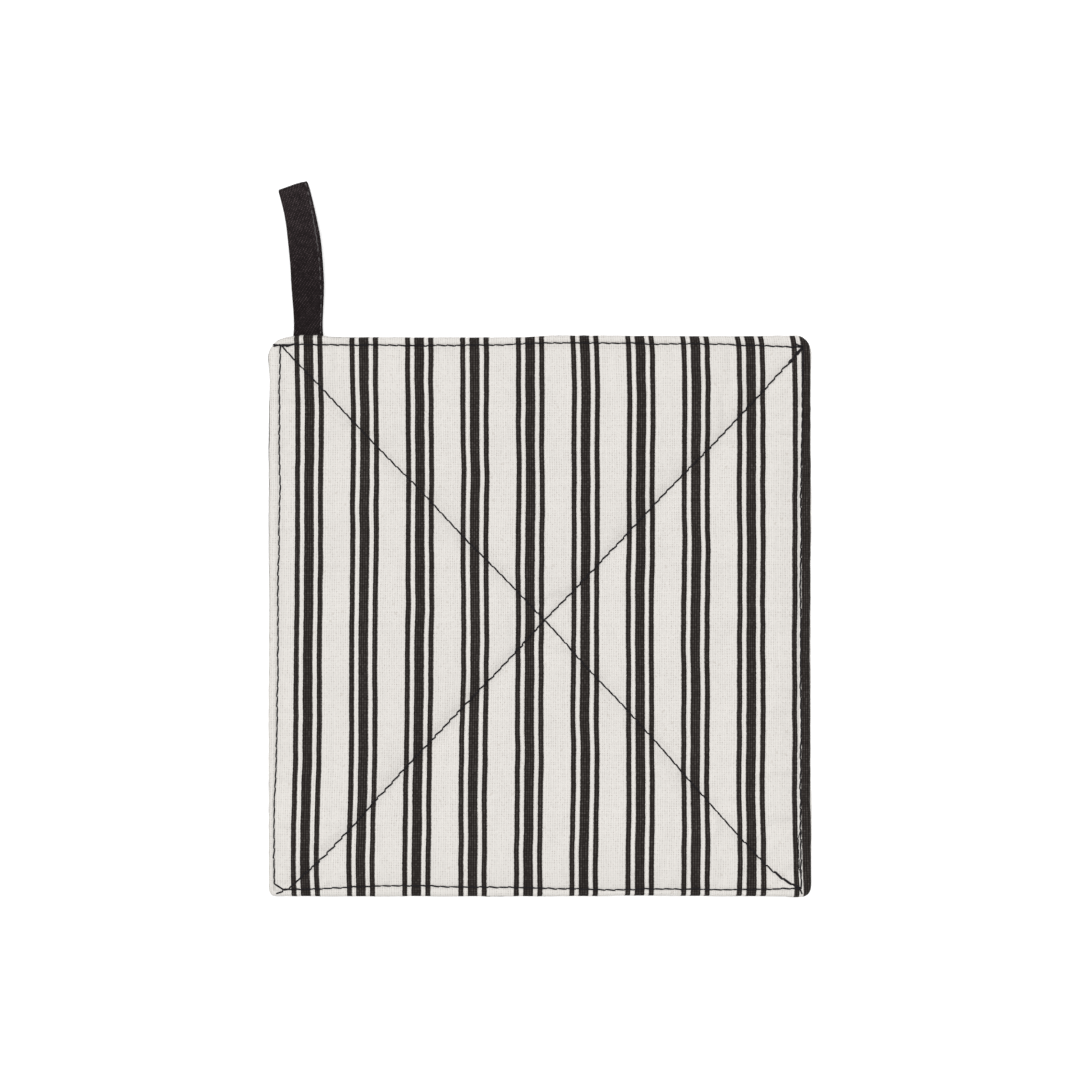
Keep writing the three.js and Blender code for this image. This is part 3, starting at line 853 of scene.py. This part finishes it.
def striped_cotton(name, first_stripe):
    m = Material(name, specular=0.08, sheen=0.03)
    uv, x, y = m.cloth_coordinates()
    weave = Weave(m, x, y, WEAVE_PITCH, WEAVE_DRIFT)
    open_patch = m.ramp(m.noise(m.vector(x, m.times(y, 0.6)), 0.16, 3.0), 0.35, 0.68)
    shade_beside_warp = m.add(SHADE_BESIDE_WARP, m.times(open_patch, SHADE_BESIDE_WARP_OPEN))
    # Painted shade in the lines beside the yarns, darker in open patches of the weave.
    cream = m.scaled(CREAM, weave.shade(m, shade_beside_warp, SHADE_BESIDE_WEFT))
    cream = m.scaled(cream, m.ramp(weave.tone, 0.2, 0.8, *CREAM_TONES))
    cream = m.scaled(cream, m.ramp(m.noise(uv, 0.035, 3.0), 0.3, 0.7, 0.99, 1.01))
    # Painted shade in the open gaps between the yarns.
    cream = m.mix(m.times(weave.gap, GAP_SHADE_DEPTH), cream, CREAM_GAP_SHADE)
    fleck = m.math("GREATER_THAN", weave.crossing, NO_FLECK)
    cream = m.mix(m.times(fleck, FLECK_DEPTH), cream, FLECK)
    # A painted highlight on the ink's yarn crests, its strength varied at random as wear.
    crest = m.times(m.ramp(weave.height, 0.2, 0.9), weave.shade(m, 0.95, 0.2))
    worn = m.add(m.ramp(weave.crossing, 0.4, 1.0, 0.2, 0.55), m.ramp(weave.tone, 0.2, 0.8, 0, 0.4))
    ink = m.mix(m.times(crest, worn), INK, INK_WORN_AND_LIT)
    colour = m.mix(stripe_mask(m, x, y, first_stripe), cream, ink)
    m.surface(colour, m.ramp(weave.height, 0, 1, 0.97, 0.84))
    m.bump(m.add(weave.height, m.times(weave.tone, 0.3)), 0.00012, 0.6)
    return m.material


TAPE = (0.0042, 0.0024, 0.0028)
# The lighter colour on the tape's yarn crests is a painted highlight.
TAPE_CREST_HIGHLIGHT = (0.076, 0.058, 0.061)
TAPE_PITCH, TAPE_DRIFT, TAPE_SLANT = 0.54, 0.15, 0.35
LINT, MOST_LINT = (0.09, 0.083, 0.08), 0.15


def black_tape():
    m = Material("black_tape", specular=0.1, sheen=0.03)
    uv, x, y = m.cloth_coordinates()
    slanted = m.add(x, m.times(y, TAPE_SLANT))
    weave = Weave(m, slanted, y, TAPE_PITCH, TAPE_DRIFT)
    # Painted highlight on the yarn crests, strongest where the warp lies on top, varied at random as wear
    # and lighter towards the fold where the tape is rubbed.
    crest = m.times(m.ramp(weave.height, 0.35, 0.9), m.add(0.25, m.times(weave.warp_on_top, 0.75)))
    from_fold = m.math("ABSOLUTE", m.add(y, -STRAP_LENGTH / 2))
    towards_fold = m.ramp(from_fold, 4, 50, 1.15, 0.62)
    rubbed = m.times(towards_fold, m.ramp(m.noise(uv, 0.3, 3.0), 0.3, 0.7, 0.75, 1.25))
    worn = m.times(m.ramp(weave.crossing, 0.0, 1.0, 0.35, 1.0), m.ramp(weave.tone, 0.2, 0.8, 0.7, 1.3))
    colour = m.mix(m.times(m.times(crest, worn), rubbed), TAPE, TAPE_CREST_HIGHLIGHT)
    lint = m.ramp(m.noise(uv, 2.3, 3.0), 0.7, 0.8, 0, MOST_LINT)
    m.surface(m.mix(lint, colour, LINT), m.ramp(weave.height, 0, 1, 0.95, 0.75))
    m.bump(m.add(weave.height, m.times(weave.tone, 0.4)), 0.0002, 0.9)
    return m.material


def sewing_thread(name, dark, light, roughness=0.6):
    """Two-ply thread: slanting ridges round it, with fine fuzz; its colour has a painted highlight on the
    ridges and painted shade in the grooves between them.
    """
    m = Material(name, specular=0.12)
    _, s, turn = m.cloth_coordinates()
    ply = m.math("SINE", m.times(m.add(m.times(s, 1.15), turn), 4 * math.pi))
    ridge = m.ramp(ply, -1, 1)
    fuzz = m.noise(m.vector(m.times(s, 3.0), m.times(turn, 4.0)), 2.0, 3.0)
    # Mixes from dark, painted shade in the grooves, to light, a painted highlight on the ridges.
    colour = m.mix(m.add(m.times(ridge, 0.7), m.times(fuzz, 0.3)), dark, light)
    m.surface(colour, m.ramp(fuzz, 0.3, 0.7, roughness - 0.08, roughness + 0.12))
    m.bump(m.add(ridge, m.times(fuzz, 0.3)), 0.00006, 0.8)
    return m.material


FELT_DARK, FELT_LIGHT = (0.72, 0.69, 0.62), (0.9, 0.88, 0.83)


def needled_wadding():
    m = Material("needled_wadding", specular=0.3, sheen=0.3)
    uv, x, y = m.cloth_coordinates()
    fibres = m.noise(m.vector(m.times(x, 0.7), m.times(y, 1.6)), 1.4, 6.0, 0.7)
    felt = m.noise(uv, 0.5, 4.0, 0.6)
    colour = m.mix(m.ramp(fibres, 0.3, 0.7), FELT_DARK, FELT_LIGHT)
    m.surface(m.scaled(colour, m.ramp(felt, 0.3, 0.7, 0.93, 1.0)), m.ramp(fibres, 0.3, 0.7, 1.0, 0.9))
    m.bump(m.add(fibres, felt), 0.0004, 0.9)
    return m.material


# ---- strap loop ----

TAIL_ROWS, LOOP_ROWS, BEND_ROWS = 6, 96, 12
LOWER_DROP = 0.28      # share of the loop over which its lower ply comes down to the table
FOLD_GAP = 0.6
ARCH_POWER = 0.9
BASE_STEEPNESS = 12
# The section: steps across a face and round the fold, the fold's bulge, and the two turned edges.
FACE_STEPS, FOLD_STEPS, FOLD_BULGE = 14, 5, 0.045
TURNED_EDGES = ((1.035, -0.65), (1.04, -0.35), (0.985, 0.0), (1.04, 0.35), (1.035, 0.65))
LOOP_INSET = 0.22
# Where the strap is widest, from its base, and how it is shaped at its ends.
SWELL_FROM, SWELL_TO, SWELL_FADES_FROM, SWELL_FADES_TO = 4, 21, 33, 47
FOOT_FLARE, FOOT_FLARE_REACH = 0.2, 1.8
FOLD_CORNER = 1.2
STITCH_DIP, STITCH_DIP_REACH = 0.1, 0.55
RIPPLE, RIPPLE_WAVELENGTH = 0.12, 6
TWIST, TWIST_ACROSS, TWIST_LENGTH = 0.1, 2.2, 9
# The edge stitching of the strap.
SEAM_START = TAIL_LENGTH + 1
SEAM_RADIUS, SEAM_SINK = 0.23, 0.12
SEAM_WAVE, SEAM_SLANT, SEAM_JITTER = 0.2, 0.25, 0.03


def smooth(s, start, end):
    """A smooth step from 0 at the start to 1 at the end."""
    t = share(s, start, end)
    return t * t * (3 - 2 * t)


def loop_lower(u):
    """Height of the lower ply's outer face, from 0 at the base to 1 at the fold."""
    tail = MID_Z - TAIL / 2
    return tail + (LOOP_LOW - tail) * smooth(u, 0, LOWER_DROP)


def loop_upper(u):
    """Height of the upper ply's outer face."""
    tail, end = MID_Z + TAIL / 2, LOOP_LOW + 2 * LOOP_PLY + FOLD_GAP
    return tail + (end - tail) * u + LOOP_ARCH * math.sin(math.pi * u) ** ARCH_POWER


def loop_line():
    """The strap's middle line in side view, from its lower tail round the fold to its upper tail."""
    half = LOOP_PLY / 2
    low_end, high_end = loop_lower(1) + half, loop_upper(1) - half
    bend = (high_end - low_end) / 2
    fold_y = LOOP_HEIGHT - half - bend
    tail_ys = [TAIL_LENGTH * (k / TAIL_ROWS - 1) for k in range(TAIL_ROWS)]
    shares = [k / LOOP_ROWS for k in range(LOOP_ROWS + 1)]
    ys = [LOOP_START * smooth(u * BASE_STEEPNESS, 0, 1) + (fold_y - LOOP_START) * u for u in shares]
    line = [(y, MID_Z - TAIL / 2 + half) for y in tail_ys]
    line += [(y, loop_lower(u) + half) for y, u in zip(ys, shares)]
    for k in range(1, BEND_ROWS):
        turn = math.pi * k / BEND_ROWS
        line.append((fold_y + bend * math.sin(turn), (low_end + high_end) / 2 - bend * math.cos(turn)))
    line += [(y, loop_upper(u) - half) for y, u in zip(reversed(ys), reversed(shares))]
    line += [(y, MID_Z + TAIL / 2 - half) for y in reversed(tail_ys)]
    return np.array(line)


def strap_section():
    """Across the strap: a round fold on its left, its two turned edges with a gap between on its right."""
    half = LOOP_PLY / 2
    top = [(1 - 2 * k / FACE_STEPS, half) for k in range(FACE_STEPS + 1)]
    turns = [math.pi * k / FOLD_STEPS for k in range(1, FOLD_STEPS)]
    left = [(-1 - FOLD_BULGE * math.sin(turn), half * math.cos(turn)) for turn in turns]
    bottom = [(-x, -half) for x, _ in top]
    return top + left + bottom + [(x, half * z) for x, z in TURNED_EDGES]


def strap_point(y, z, across):
    """Takes a place on the straight strap to the loop, which sways to the left towards its end."""
    reach = max(y, 0.0) / LOOP_HEIGHT
    lean = math.atan(3 * LOOP_SWAY * reach ** 2 / LOOP_HEIGHT)
    x = CENTRE_X + LOOP_X - LOOP_INSET - LOOP_SWAY * reach ** 3 + across * math.cos(lean)
    return x, PAD_HIGH[1] + y + across * math.sin(lean), z


def line_frames(line):
    """Outward direction and distance travelled at each point of a line in side view."""
    way = unit_rows(np.gradient(line, axis=0))
    return np.stack([way[:, 1], -way[:, 0]], axis=-1), travelled_along(line)


def strap_half_width(y):
    """Half the strap's width, with round corners at its fold."""
    corner = max(y - LOOP_HEIGHT + FOLD_CORNER, 0) / FOLD_CORNER
    swell = smooth(y, SWELL_FROM, SWELL_TO) * (1 - 0.5 * smooth(y, SWELL_FADES_FROM, SWELL_FADES_TO))
    flare = FOOT_FLARE * math.exp(-((y / FOOT_FLARE_REACH) ** 2))
    return (LOOP_WIDTH + LOOP_SWELL * swell) / 2 + flare - 0.5 * corner ** 2


def strap(material):
    line = loop_line()
    outward, travelled = line_frames(line)
    section = strap_section()
    points, uv = [], []
    for (y, z), (out_y, out_z), s in zip(line, outward, travelled):
        width = strap_half_width(y)
        around = 0.0
        before = section[0]
        for across, rise in section:
            around += math.hypot((across - before[0]) * width, rise - before[1])
            before = (across, rise)
            off_stitches = (across * width - LOOP_STITCH_ACROSS) / STITCH_DIP_REACH
            dip = STITCH_DIP * math.exp(-off_stitches ** 2) * math.copysign(1, rise)
            twist = TWIST * math.sin(across * TWIST_ACROSS + s / TWIST_LENGTH)
            ripple = RIPPLE * line_noise(s, 91, RIPPLE_WAVELENGTH) + twist
            out = rise - dip + ripple * (1 - min(abs(across), 1) ** 4)
            points.append(strap_point(y + out_y * out, z + out_z * out, across * width))
            uv.append((around, s))
    rings = np.arange(len(points)).reshape(len(line), -1)
    return mesh_object("loop_strap_cloth", points, sleeve_faces(rings[::-1]), uv, material)


def loop_seam(name, outside, material):
    """The strap's edge stitching on its outer or inner face."""
    line = loop_line()
    outward, travelled = line_frames(line)
    sign = 1 if outside else -1
    rng = np.random.default_rng(96 + outside)
    stations = np.arange(SEAM_START, travelled[-1] - SEAM_START, LOOP_STITCH / len(TIGHT_STITCH))
    path = []
    for number, s in enumerate(stations):
        stitch, part = divmod(number, len(TIGHT_STITCH))
        along, height = TIGHT_STITCH[part]
        y, z, *out = (np.interp(s, travelled, column) for column in np.hstack([line, outward]).T)
        out = sign * np.array(out) / np.linalg.norm(out) * (LOOP_PLY / 2 - SEAM_SINK + height)
        across = LOOP_STITCH_ACROSS + SEAM_WAVE * line_noise(stitch, 95, 4) + SEAM_SLANT * (0.5 - along)
        path.append(strap_point(y + out[0], z + out[1], across + SEAM_JITTER * rng.normal()))
    return thread_object(name, [path], SEAM_RADIUS, material)


# ---- sewing ----

def edge_holes(quilt):
    """Needle holes round the edge, from the far left corner anticlockwise and back to it."""
    holes = ring_places(CELLS)[::EDGE_STITCH]
    side = CELLS // EDGE_STITCH
    holes = np.concatenate([holes[3 * side:], holes[:3 * side + 1]])
    holes[side] = CORNER_HOLE
    return quilt.places(holes)


def local(*places):
    """Places of the pad's plan, given from its centre, in the row frame."""
    return np.array(places, float) + (CENTRE_X, CENTRE_Y)


HOLE_UNEVENNESS = 0.09
# Bits of thread given point by point: the back-tack of the edge seam and the diagonals' loose ends.
BACK_TACK = ((-98.2, 100.15), (-95.9, 100.25), (-93.4, 100.05), (-91.2, 100.35), (-89.0, 100.45))
RISING_TAIL = ((-97.0, -102.0), (-94.6, -100.9), (-92.2, -99.9))
RISING_END, RISING_END_HEIGHTS = ((94.0, 100.7), (95.4, 100.0), (96.9, 99.9)), (0.05, 0.25, 0.3)
FALLING_END, FALLING_END_HEIGHTS = ((95.1, -99.6), (96.0, -100.8), (96.5, -102.0)), (0.3, 0.3, 0.1)
PARTED_CELLS, PARTED_BY = range(4, 25, EDGE_STITCH), 0.85


def edge_threads(quilt, needle):
    """The edge stitching, and the thick back-tack where it begins and ends."""
    holes = edge_holes(quilt)
    uneven = np.random.default_rng(40 + quilt.side).normal(0, HOLE_UNEVENNESS, holes.shape)
    tack = local(*BACK_TACK[:5 if quilt.side > 0 else 4])
    return [
        needle.seam(holes + uneven, 41, 0.34),
        needle.seam(tack, 42, 0.3, lift=0.14),
        needle.seam(tack[:4] + (0.1, -0.22), 43, -0.35, lift=0.22),
    ]


def loose_ply(quilt, needle):
    """A ply that has parted from the edge stitching at the near right corner."""
    holes = quilt.places([(CELLS, k) for k in PARTED_CELLS])
    holes[1:-1, 0] -= PARTED_BY
    return needle.seam(holes, 48, 0.15, lift=0.05)


def rising_threads(quilt, needle):
    """The diagonal from the near left to the far right corner, with its tail and its thick back-tack."""
    holes = quilt.places(diagonal_places(True))[3:]
    return [
        needle.seam(np.concatenate([local(*RISING_TAIL), holes]), 44, 0.5),
        needle.seam(holes[-1:-4:-1] + (0.12, -0.22), 45, -0.4, lift=0.16),
        needle.seam(holes[-1:-3:-1] + (-0.18, 0.16), 49, 0.3, lift=0.22),
        needle.strand(local(*RISING_END), RISING_END_HEIGHTS),
    ]


def falling_threads(quilt, needle):
    """The diagonal from the near right to the far left corner, doubled where it begins."""
    holes = quilt.places(diagonal_places(False))
    return [
        needle.seam(holes, 46, 0.32),
        needle.seam(holes[:4] + (0.2, 0.22), 47, 0.25, lift=0.1),
        needle.strand(local(*FALLING_END), FALLING_END_HEIGHTS),
    ]


HIDDEN_SEAM_PLACE, HIDDEN_SEAM_WAVE, HIDDEN_SEAM_RADIUS = 0.72, 0.06, 0.06


def seam_thread(material):
    """The hidden seam between the turned-in edges: a line that weaves through both allowances."""
    places = ring_places(CELLS)
    flat_x, flat_y = plan(*(places.T / CELLS * 2 - 1))
    flat = np.stack([flat_x, flat_y], axis=-1)
    path = local(*(flat + (outline(CELLS) - flat) * HIDDEN_SEAM_PLACE))
    wave = MID_Z + HIDDEN_SEAM_WAVE * np.sin(np.arange(len(path)) * 2 * math.pi / EDGE_STITCH)
    return thread_object("seam_thread_line", [np.column_stack([path, wave])], HIDDEN_SEAM_RADIUS, material)


# ---- the pad ----

def stands_for(piece, slot, *nodes):
    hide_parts(*nodes)
    return piece


def halves(stem):
    return f"{stem}_upper_left", f"{stem}_lower_right"


def pad_side(layer, side, seed, cotton, felt, thread):
    """Everything on one side of the pad: its panel, its wadding and its three lines of stitching."""
    quilt = Quilt(side, seed)
    points, faces, uv = panel_mesh(quilt)
    needle = Needle(quilt, points, faces)
    cloth = mesh_object(f"{layer}_panel", points, faces, uv, cotton)
    stands_for(cloth, "striped_cotton", *halves(f"panel_{layer}"))
    ply = wadding(f"{layer}_wadding", quilt, felt)
    stands_for(ply, "wadding", *halves(f"wadding_{layer}"))
    pieces = [cloth, ply]
    parted = [loose_ply(quilt, needle)] if side > 0 else []
    for name, threads, plies, nodes in (
        ("edge", edge_threads, parted, halves(f"edge_stitch_{layer}")),
        ("cross", falling_threads, [], halves(f"cross_stitch_{layer}")),
        ("fold", rising_threads, [], [f"fold_stitch_{layer}"]),
    ):
        paths = threads(quilt, needle)
        line = thread_object(f"{layer}_{name}_stitching", paths, THREAD_RADIUS, thread, plies)
        pieces.append(stands_for(line, "black_thread", *nodes))
    return pieces


def bend_over_fold(pieces):
    for piece in pieces:
        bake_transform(piece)


def bend_at_loop(pieces):
    for piece in pieces:
        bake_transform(piece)


# ---- floor, light and camera ----

FLOOR_DROP, FLOOR_REACH = 0.0004, 3.0      # metres
FLOOR_DARK, FLOOR_LIGHT, FLOOR_GLOW = (0.955,) * 3, (0.975,) * 3, 0.2
WORLD_COLOUR = (1.0, 0.998, 0.993)
SKY, BELOW_HORIZON, HORIZON_BAND = 0.44, 1.3, 0.01
# Lamps: direction, angle in degrees and strength.
OVERHEAD_LAMP = ((0.02, -0.02, -1.0), 24, 2.6)
SIDE_LAMP = ((0.7, -0.6, -0.9), 45, 0.45)


def white_floor():
    mesh = bpy.data.meshes.new("floor")
    corners = [(x * FLOOR_REACH, y * FLOOR_REACH, 0) for x, y in ((-1, -1), (1, -1), (1, 1), (-1, 1))]
    mesh.from_pydata(corners, [], [(0, 1, 2, 3)])
    floor = placed("floor", mesh)
    floor.location.z = -FLOOR_DROP
    m = Material("white_sweep", specular=0.1)
    place = m.node("ShaderNodeTexCoord", {}).outputs["Object"]
    grain = m.noise(place, 6.0)
    m.surface(m.mix(grain, FLOOR_DARK, FLOOR_LIGHT), m.ramp(grain, 0, 1, 0.88, 0.95))
    m.feed(m.shader.inputs["Emission Color"], (1.0, 1.0, 1.0))
    m.feed(m.shader.inputs["Emission Strength"], FLOOR_GLOW)
    mesh.materials.append(m.material)


def soft_sun(name, direction, angle, strength):
    light = bpy.data.lights.new(name, "SUN")
    light.angle = math.radians(angle)
    light.energy = strength
    placed(name, light).rotation_euler = Vector(direction).to_track_quat("-Z", "Y").to_euler()


def pale_world():
    """An even soft sky, and white below the horizon so that the floor seems to run on."""
    world = bpy.data.worlds.new("studio")
    bpy.context.scene.world = world
    nodes = NodeTree(world, "Background")
    direction = nodes.node("ShaderNodeTexCoord", {}).outputs["Generated"]
    up = nodes.node("ShaderNodeSeparateXYZ", {0: direction}).outputs["Z"]
    inputs = {"From Min": -HORIZON_BAND, "From Max": HORIZON_BAND, "To Min": BELOW_HORIZON, "To Max": SKY}
    level = nodes.node("ShaderNodeMapRange", {"Value": up, **inputs}).outputs["Result"]
    nodes.feed(nodes.shader.inputs["Color"], WORLD_COLOUR)
    nodes.feed(nodes.shader.inputs["Strength"], level)


def studio():
    pale_world()
    soft_sun("overhead_softbox", *OVERHEAD_LAMP)
    soft_sun("side_softbox", *SIDE_LAMP)
    bpy.context.scene.view_settings.view_transform = "Standard"


VIEW_WIDTH, VIEW_Y, EYE_HEIGHT = 0.39776, -0.00014, 1.2      # metres; the width is across the picture


def camera():
    data = bpy.data.cameras.new("camera")
    data.type = "ORTHO"
    data.ortho_scale = VIEW_WIDTH
    eye = placed("camera", data)
    eye.location = (0.0, VIEW_Y, EYE_HEIGHT)
    bpy.context.scene.camera = eye


# ---- build ----

# Dark and light of each thread's plies: painted shade in the grooves and a painted highlight on the
# ridges.
BLACK = ((0.0045, 0.004, 0.0048), (0.02, 0.018, 0.0215))
WHITE = ((0.55, 0.53, 0.48), (0.85, 0.83, 0.78))
# The strap's thread: its light colour is a brighter painted glint on the ply ridges.
BLACK_WITH_PAINTED_GLINT = ((0.012, 0.011, 0.0115), (0.15, 0.138, 0.142))
# Each layer's side of the mid-plane, seed and first stripe.
LAYERS = (("front", 1, 101, STRIPE_START), ("back", -1, 202, BACK_STRIPE_START))

camera()
black_thread = sewing_thread("black_thread", *BLACK)
white_thread = sewing_thread("white_thread", *WHITE)
tape_thread = sewing_thread("tape_thread", *BLACK_WITH_PAINTED_GLINT, roughness=0.45)
felt = needled_wadding()

across_fold = []
for layer, side, seed, first_stripe in LAYERS:
    cotton = striped_cotton(f"striped_cotton_{layer}", first_stripe)
    across_fold += pad_side(layer, side, seed, cotton, felt, black_thread)
hidden_seam = seam_thread(white_thread)
stands_for(hidden_seam, "white_thread", *halves("seam_thread"))
bend_over_fold([*across_fold, hidden_seam])

band = stands_for(strap(black_tape()), "black_tape", "loop_strap", "loop_tails")
outer_seam = loop_seam("loop_outer_stitching", True, tape_thread)
stands_for(outer_seam, "black_thread", "loop_stitch_outer")
inner_seam = loop_seam("loop_inner_stitching", False, tape_thread)
stands_for(inner_seam, "black_thread", "loop_stitch_inner")
bend_at_loop([band, outer_seam, inner_seam])

white_floor()
studio()
